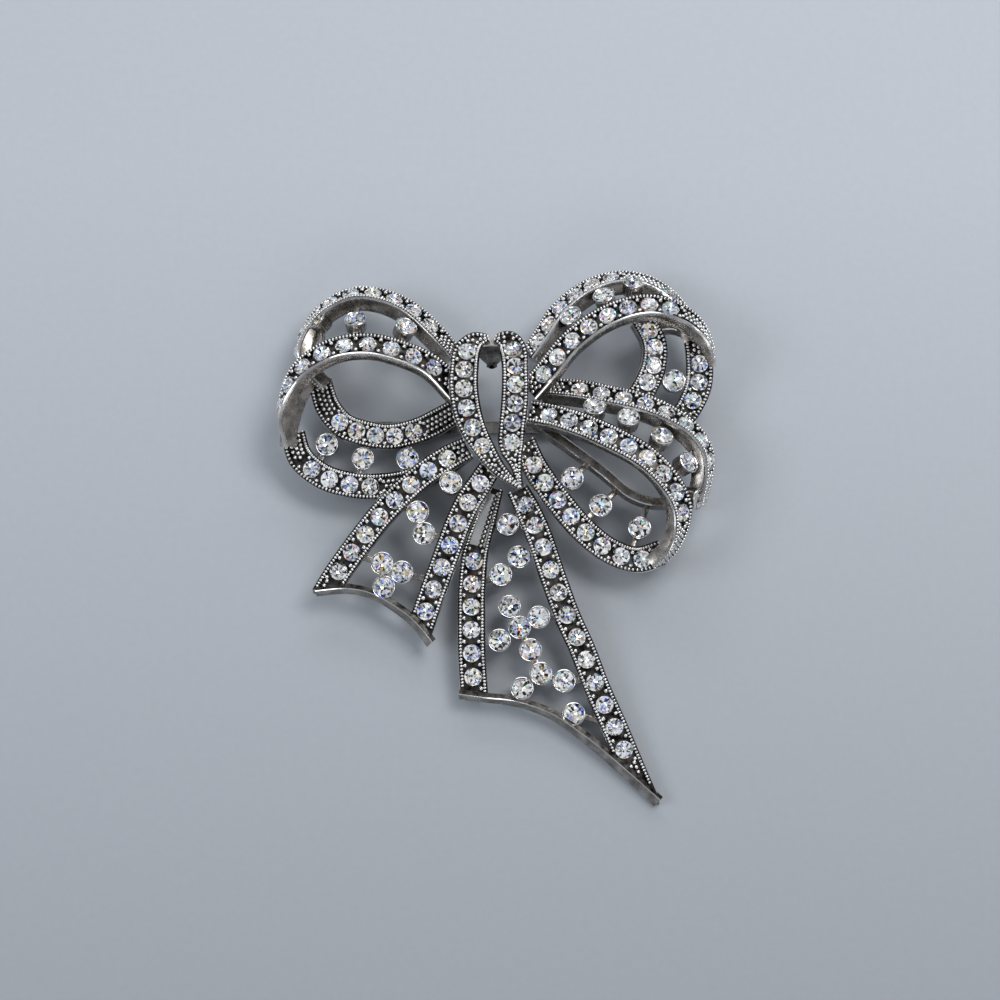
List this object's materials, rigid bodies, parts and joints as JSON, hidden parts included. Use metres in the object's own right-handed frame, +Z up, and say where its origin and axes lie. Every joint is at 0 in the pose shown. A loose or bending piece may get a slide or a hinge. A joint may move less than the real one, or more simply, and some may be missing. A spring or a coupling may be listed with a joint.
{
  "type": "bow brooch",
  "caption": "Ribbon bow brooch of pierced silver-coloured castings set with clear faceted stones, with a bar pin across its back.",
  "frame": {"origin": "middle of the brooch in X and Y, on the surface that it lies on", "axes": "+Z up out of the face of the bow, +Y towards the top of the knot, +X to the wearer's left as seen from in front"},
  "size_m": [0.0661, 0.0808, 0.0135],
  "materials": {
    "silver": "bright with a darkened ground",
    "stone": "cut and polished",
    "steel": "satin"
  },
  "bodies": {
    "root": {"left_loop": "silver", "right_upper_loop": "silver", "right_lower_loop": "silver", "knot": "silver", "left_tail": "silver", "right_tail": "silver", "pin_back": "steel", "left_loop_stones": "stone", "right_upper_loop_stones": "stone", "right_lower_loop_stones": "stone", "knot_stones": "stone", "left_tail_stones": "stone", "right_tail_stones": "stone", "cup_stone_1": "stone", "cup_stone_2": "stone", "cup_stone_3": "stone", "cup_stone_4": "stone", "cup_stone_5": "stone", "cup_stone_6": "stone", "cup_stone_7": "stone", "cup_stone_8": "stone", "cup_stone_9": "stone", "cup_stone_10": "stone", "cup_stone_11": "stone", "cup_stone_12": "stone", "cup_stone_13": "stone", "cup_stone_14": "stone", "cup_stone_15": "stone", "cup_stone_16": "stone", "cup_stone_17": "stone", "cup_stone_18": "stone", "cup_stone_19": "stone", "cup_stone_20": "stone", "cup_stone_21": "stone", "cup_stone_22": "stone", "cup_stone_23": "stone", "cup_stone_24": "stone", "cup_stone_25": "stone", "cup_stone_26": "stone", "cup_stone_27": "stone", "cup_stone_28": "stone", "cup_stone_29": "stone", "cup_stone_30": "stone", "cup_stone_31": "stone", "cup_stone_32": "stone", "cup_stone_33": "stone", "cup_stone_34": "stone", "cup_stone_35": "stone", "cup_stone_36": "stone", "cup_stone_37": "stone"}
  },
  "joints": []
}
